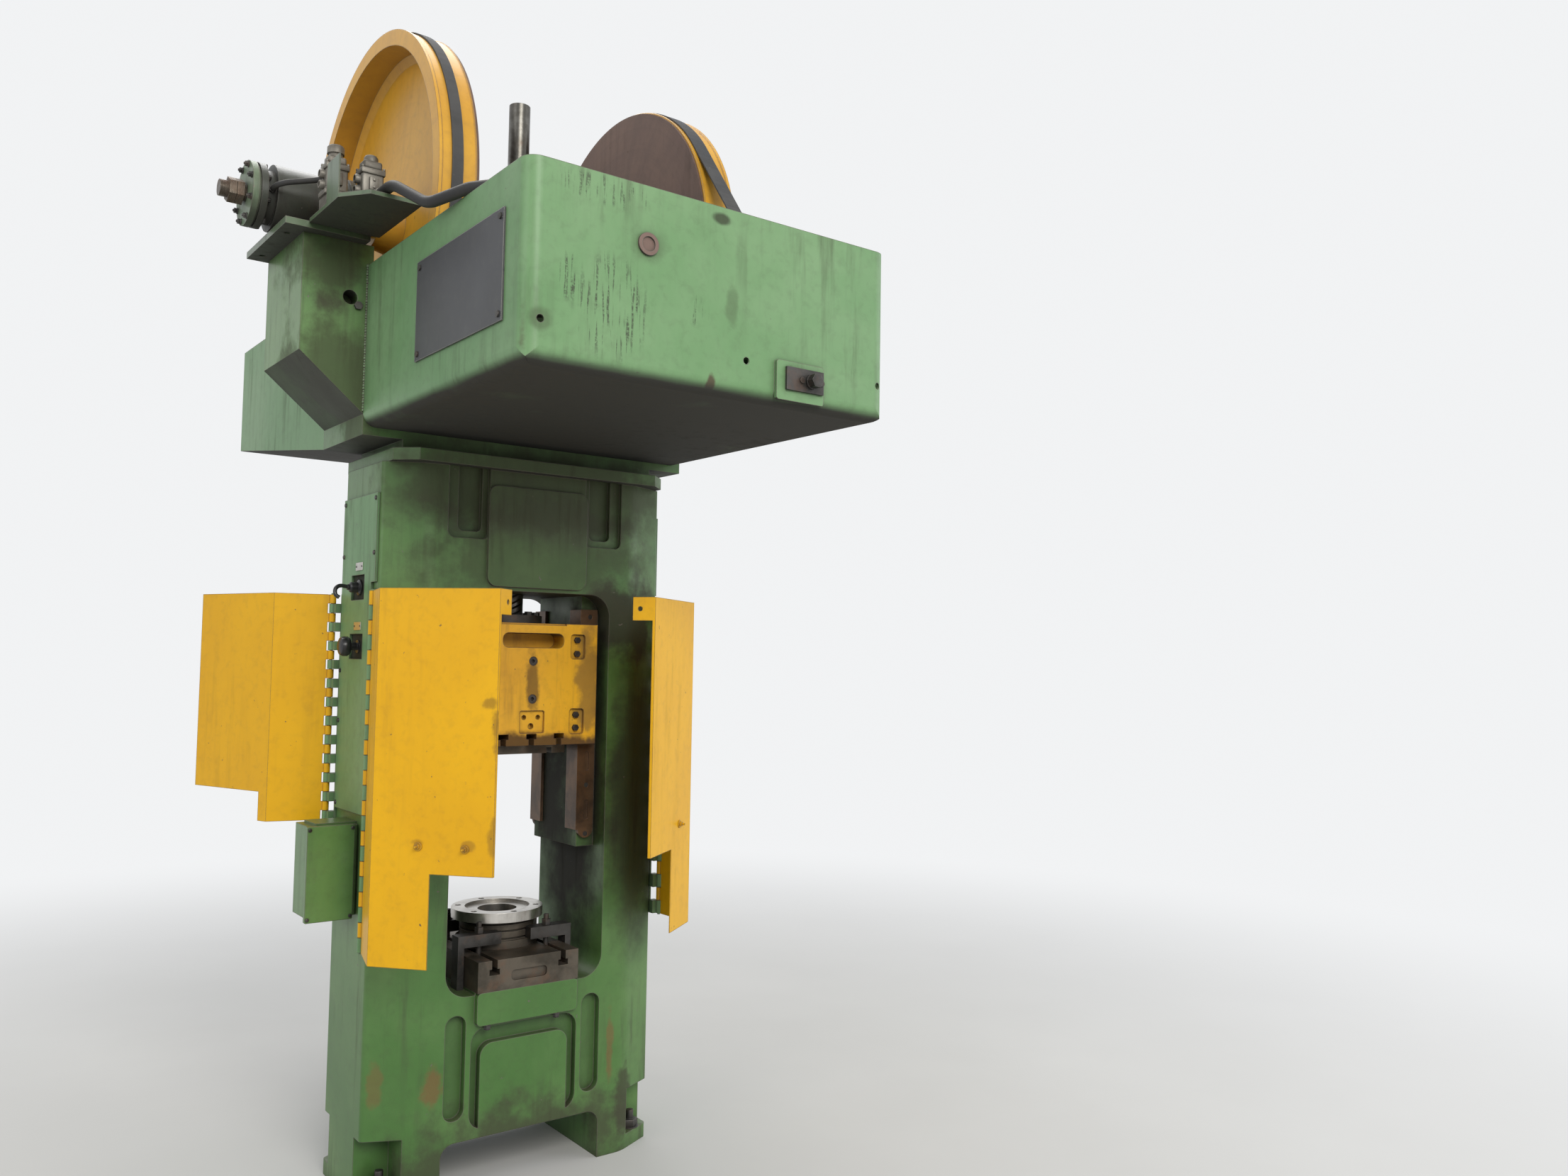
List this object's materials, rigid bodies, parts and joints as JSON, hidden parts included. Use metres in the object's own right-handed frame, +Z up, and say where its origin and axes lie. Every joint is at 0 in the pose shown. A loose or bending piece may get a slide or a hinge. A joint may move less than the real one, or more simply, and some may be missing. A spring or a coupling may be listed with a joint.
{
  "type": "friction screw stamping press",
  "caption": "Upright screw press: windowed column, sliding ram in guides, flywheel driven by upright friction discs on top, belt drive boxes and hinged guards.",
  "frame": {"origin": "on the floor, on the screw axis, under the middle of the column", "axes": "+X to the right seen from the front (operator) side, +Y to the rear, +Z up along the screw axis"},
  "size_m": [1.86, 2.526, 3.5125],
  "materials": {
    "green_casting": "satin, worn",
    "green_sheet": "satin, worn",
    "guide_bronze": "oiled",
    "dark_steel": "oily, dark",
    "bolster_steel": "stained",
    "bright_steel": "turned",
    "plate_black": "satin",
    "housing_grey": "grimy",
    "cap_green": "worn",
    "motor_paint": "satin",
    "belt_fabric": "matt",
    "valve_alloy": "dull",
    "ram_orange": "worn",
    "screw_steel": "oiled",
    "wheel_iron": "machined",
    "friction_brown": "worn",
    "disc_orange": "satin",
    "door_yellow": "satin",
    "knob_black": "gloss"
  },
  "bodies": {
    "frame": {"column": "green_casting", "guide_strips": "guide_bronze", "nut": "guide_bronze", "bolster": "bolster_steel", "die_holder": "bolster_steel", "die_ring": "bright_steel", "clamps": "dark_steel", "frame_bolts": "dark_steel", "frame_screws": "dark_steel", "head": "green_casting", "front_box": "green_sheet", "rear_box": "green_sheet", "ear_plates": "green_sheet", "nameplate": "plate_black", "sight_plug": "dark_steel", "tension_yoke": "dark_steel", "tension_bolt": "dark_steel", "housings": "housing_grey", "barrels": "housing_grey", "caps": "cap_green", "motors": "motor_paint", "motor_bases": "motor_paint", "belts": "belt_fabric", "valve_plate": "green_sheet", "valves": "valve_alloy", "side_covers": "green_sheet", "side_tags": "bright_steel", "terminal_box": "green_sheet", "hinges": "green_sheet"},
    "ram": {"ram": "ram_orange", "ram_bolts": "dark_steel", "collar_ring": "dark_steel", "thrust_pad": "guide_bronze", "die_plate": "bolster_steel"},
    "screw": {"screw": "screw_steel", "flywheel": "wheel_iron", "flywheel_band": "friction_brown", "flywheel_nut": "dark_steel"},
    "quill_left": {"quill_left": "screw_steel", "bearings_left": "bright_steel", "rod_left": "dark_steel"},
    "quill_right": {"quill_right": "screw_steel", "bearings_right": "bright_steel", "rod_right": "dark_steel"},
    "disc_left": {"disc_left": "disc_orange", "facing_left": "friction_brown", "spindle_left": "screw_steel"},
    "disc_right": {"disc_right": "disc_orange", "facing_right": "friction_brown", "spindle_right": "screw_steel"},
    "pulley_left": {"pulley_left": "wheel_iron", "shaft_left": "screw_steel"},
    "pulley_right": {"pulley_right": "wheel_iron", "shaft_right": "screw_steel"},
    "door_fl": {"door_fl": "door_yellow"},
    "door_fr": {"door_fr": "door_yellow"},
    "door_rl": {"door_rl": "door_yellow"},
    "door_rr": {"door_rr": "door_yellow"},
    "hook_lever": {"hook_lever": "knob_black"},
    "side_knob": {"side_knob": "knob_black"}
  },
  "joints": [
    {"name": "ram_slide", "type": "slide", "parent": "frame", "child": "ram", "axis": [0, 0, 1], "range_m": [-0.3, 0]},
    {"name": "screw_turn", "type": "hinge", "parent": "ram", "child": "screw", "pos_m": [0, 0, 2.86], "axis": [0, 0, 1], "range_deg": [-720, 0]},
    {"name": "quill_left_shift", "type": "slide", "parent": "frame", "child": "quill_left", "axis": [1, 0, 0], "range_m": [0, 0.0076]},
    {"name": "quill_right_shift", "type": "slide", "parent": "frame", "child": "quill_right", "axis": [-1, 0, 0], "range_m": [0, 0.0076]},
    {"name": "disc_left_spin", "type": "hinge", "parent": "quill_left", "child": "disc_left", "pos_m": [-0.438, 0, 2.94], "axis": [1, 0, 0], "continuous": true},
    {"name": "disc_right_spin", "type": "hinge", "parent": "quill_right", "child": "disc_right", "pos_m": [0.438, 0, 2.94], "axis": [1, 0, 0], "continuous": true},
    {"name": "pulley_left_spin", "type": "hinge", "parent": "frame", "child": "pulley_left", "pos_m": [-0.444, 0.95, 2.53], "axis": [1, 0, 0], "continuous": true},
    {"name": "pulley_right_spin", "type": "hinge", "parent": "frame", "child": "pulley_right", "pos_m": [0.427, -0.95, 2.47], "axis": [1, 0, 0], "continuous": true},
    {"name": "door_fl_swing", "type": "hinge", "parent": "frame", "child": "door_fl", "pos_m": [-0.504, -0.182, 1.26], "axis": [0, 0, -1], "range_deg": [-49.1, 105]},
    {"name": "door_fr_swing", "type": "hinge", "parent": "frame", "child": "door_fr", "pos_m": [0.504, -0.182, 1.26], "axis": [0, 0, 1], "range_deg": [-37.9, 116]},
    {"name": "door_rl_swing", "type": "hinge", "parent": "frame", "child": "door_rl", "pos_m": [-0.504, 0.182, 1.26], "axis": [0, 0, 1], "range_deg": [-111, 20]},
    {"name": "door_rr_swing", "type": "hinge", "parent": "frame", "child": "door_rr", "pos_m": [0.504, 0.182, 1.26], "axis": [0, 0, -1], "range_deg": [-100, 54]},
    {"name": "hook_turn", "type": "hinge", "parent": "frame", "child": "hook_lever", "pos_m": [-0.5, 0, 1.8], "axis": [-1, 0, 0], "range_deg": [-60, 60]},
    {"name": "knob_turn", "type": "hinge", "parent": "frame", "child": "side_knob", "pos_m": [-0.5, 0, 1.62], "axis": [-1, 0, 0], "range_deg": [-90, 90]}
  ],
  "couplings": [
    {"joint": "screw_turn", "follows": "ram_slide", "rad_per_m": 41.888},
    {"joint": "pulley_left_spin", "follows": "disc_left_spin", "ratio": 6.4432},
    {"joint": "pulley_right_spin", "follows": "disc_right_spin", "ratio": 6.4432}
  ]
}
